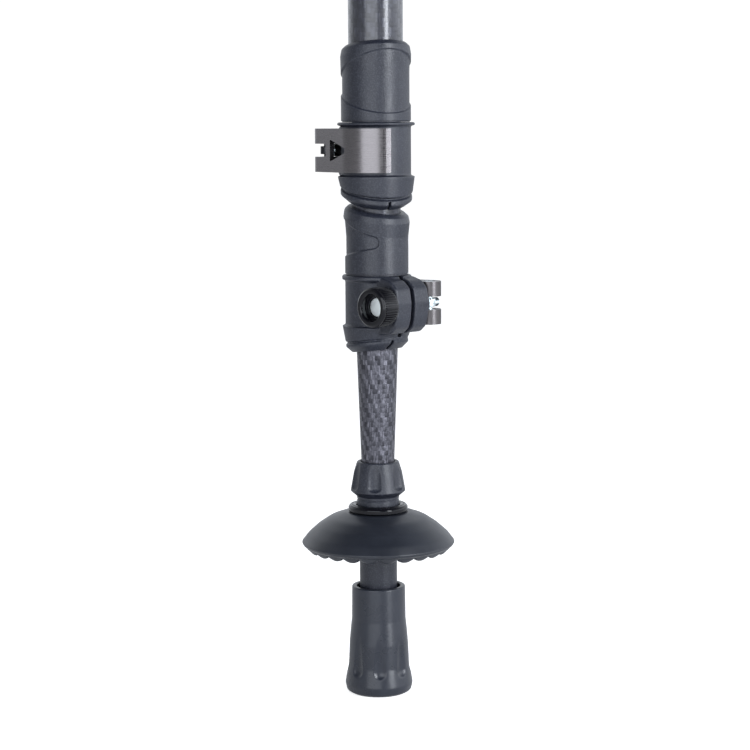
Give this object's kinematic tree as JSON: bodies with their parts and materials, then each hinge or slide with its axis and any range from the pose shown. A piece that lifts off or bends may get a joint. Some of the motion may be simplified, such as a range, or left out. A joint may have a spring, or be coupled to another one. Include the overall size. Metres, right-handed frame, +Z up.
{
  "type": "prism pole",
  "caption": "Telescopic carbon survey pole, collapsed: cam-lever clamps, domed basket, fluted rubber foot, foam grip, circular level and threaded top stud.",
  "frame": {"origin": "centre of the rubber foot's flat sole", "axes": "+Z up the pole; the front of the pictured view looks along +Y with +X to the right"},
  "size_m": [0.0664, 0.0514, 0.62],
  "materials": {
    "carbon": "woven carbon fibre under clear resin",
    "moulded_black": "fine-grained moulded nylon",
    "gloss_black": "polished",
    "rubber": "satin moulded rubber",
    "titanium_grey": "fine-brushed, anodised titanium grey",
    "zinc": "bright zinc plate",
    "steel": "turned steel",
    "nylon": "natural nylon",
    "foam": "closed-cell foam",
    "anodised_black": "black anodised",
    "brass": "turned brass",
    "level_glass": "clear glass with tinted spirit"
  },
  "bodies": {
    "foot": {"rubber_foot": "rubber", "foot_washer": "steel"},
    "tip_section": {"tip_ferrule": "moulded_black", "steel_tip": "steel", "lower_tube": "carbon", "lower_end_plug": "nylon"},
    "basket_hub": {"basket_ring": "gloss_black"},
    "basket_dish": {"basket": "moulded_black"},
    "lower_guide": {"lower_guide_ring": "nylon"},
    "middle_section": {"middle_tube": "carbon", "middle_sleeve": "moulded_black", "middle_collar": "moulded_black", "middle_shim": "nylon", "middle_end_plug": "nylon", "middle_bearing_plate": "steel"},
    "middle_screw": {"middle_tension_screw": "zinc", "middle_pivot_pin": "steel"},
    "middle_lever_arm": {"middle_lever": "titanium_grey"},
    "middle_wheel": {"middle_thumb_wheel": "gloss_black", "middle_wheel_nut": "zinc"},
    "upper_guide": {"upper_guide_ring": "nylon"},
    "upper_section": {"upper_tube": "carbon", "upper_sleeve": "moulded_black", "upper_collar": "moulded_black", "upper_shim": "nylon", "upper_bearing_plate": "steel", "foam_grip": "foam", "grip_lower_ring": "moulded_black", "grip_upper_ring": "moulded_black", "top_ferrule": "anodised_black", "prism_stud": "steel"},
    "upper_screw": {"upper_tension_screw": "zinc", "upper_pivot_pin": "steel"},
    "upper_lever_arm": {"upper_lever": "titanium_grey"},
    "upper_wheel": {"upper_thumb_wheel": "gloss_black", "upper_wheel_nut": "zinc"},
    "level": {"level_bracket": "anodised_black", "level_housing": "anodised_black", "level_vial": "level_glass"},
    "level_knob": {"level_clamp_screw": "anodised_black"},
    "level_trim_1": {"level_adjusting_screw_1": "brass"},
    "level_trim_2": {"level_adjusting_screw_2": "brass"},
    "level_trim_3": {"level_adjusting_screw_3": "brass"}
  },
  "joints": [
    {"name": "foot_pull", "type": "slide", "parent": "foot", "child": "tip_section", "axis": [0, 0, 1], "range_m": [0, 0.04]},
    {"name": "basket_lead", "type": "slide", "parent": "tip_section", "child": "basket_hub", "axis": [0, 0, -1], "range_m": [0, 0.008]},
    {"name": "basket_turn", "type": "hinge", "parent": "basket_hub", "child": "basket_dish", "pos_m": [0, 0, 0.056], "axis": [0, 0, 1], "range_deg": [0, 720]},
    {"name": "lower_turn", "type": "hinge", "parent": "tip_section", "child": "lower_guide", "pos_m": [0, 0, 0.5], "axis": [0, 0, 1], "continuous": true},
    {"name": "lower_extend", "type": "slide", "parent": "lower_guide", "child": "middle_section", "axis": [0, 0, 1], "range_m": [0, 0.36]},
    {"name": "upper_turn", "type": "hinge", "parent": "middle_section", "child": "upper_guide", "pos_m": [0, 0, 0.55], "axis": [0, 0, 1], "range_deg": [-30, 10]},
    {"name": "upper_extend", "type": "slide", "parent": "upper_guide", "child": "upper_section", "axis": [0, 0, 1], "range_m": [0, 0.32]},
    {"name": "middle_wheel_turn", "type": "hinge", "parent": "middle_section", "child": "middle_wheel", "pos_m": [0.00085, -0.0164, 0.1322], "axis": [0.7071, 0.7071, 0], "range_deg": [0, 720]},
    {"name": "middle_screw_slide", "type": "slide", "parent": "middle_section", "child": "middle_screw", "axis": [0.7071, 0.7071, 0], "range_m": [0, 0.00099]},
    {"name": "middle_lever_open", "type": "hinge", "parent": "middle_screw", "child": "middle_lever_arm", "pos_m": [0.01732, 0.00007, 0.1322], "axis": [0, 0, -1], "range_deg": [0, 135]},
    {"name": "upper_wheel_turn", "type": "hinge", "parent": "upper_section", "child": "upper_wheel", "pos_m": [0.00525, 0.01636, 0.1825], "axis": [-0.9272, -0.3746, 0], "range_deg": [0, 720]},
    {"name": "upper_screw_slide", "type": "slide", "parent": "upper_section", "child": "upper_screw", "axis": [-0.9272, -0.3746, 0], "range_m": [0, 0.00099]},
    {"name": "upper_lever_open", "type": "hinge", "parent": "upper_screw", "child": "upper_lever_arm", "pos_m": [-0.01635, 0.00763, 0.1825], "axis": [0, 0, -1], "range_deg": [0, 135]},
    {"name": "level_slide", "type": "slide", "parent": "upper_section", "child": "level", "axis": [0, 0, 1], "range_m": [-0.095, 0.05]},
    {"name": "level_knob_turn", "type": "hinge", "parent": "level", "child": "level_knob", "pos_m": [-0.01738, -0.00633, 0.33], "axis": [-0.342, 0.9397, 0], "range_deg": [0, 720]},
    {"name": "level_trim_turn_1", "type": "hinge", "parent": "level", "child": "level_trim_1", "pos_m": [0.03665, 0.01334, 0.32], "axis": [0, 0, 1], "range_deg": [-360, 360]},
    {"name": "level_trim_turn_2", "type": "hinge", "parent": "level", "child": "level_trim_2", "pos_m": [0.01959, 0.01635, 0.32], "axis": [0, 0, 1], "range_deg": [-360, 360]},
    {"name": "level_trim_turn_3", "type": "hinge", "parent": "level", "child": "level_trim_3", "pos_m": [0.02551, 0.00007, 0.32], "axis": [0, 0, 1], "range_deg": [-360, 360]}
  ],
  "couplings": [
    {"joint": "basket_lead", "follows": "basket_turn", "m_per_rad": 0.00059683},
    {"joint": "middle_wheel_turn", "follows": "middle_screw_slide", "rad_per_m": 12693},
    {"joint": "upper_wheel_turn", "follows": "upper_screw_slide", "rad_per_m": 12693}
  ]
}
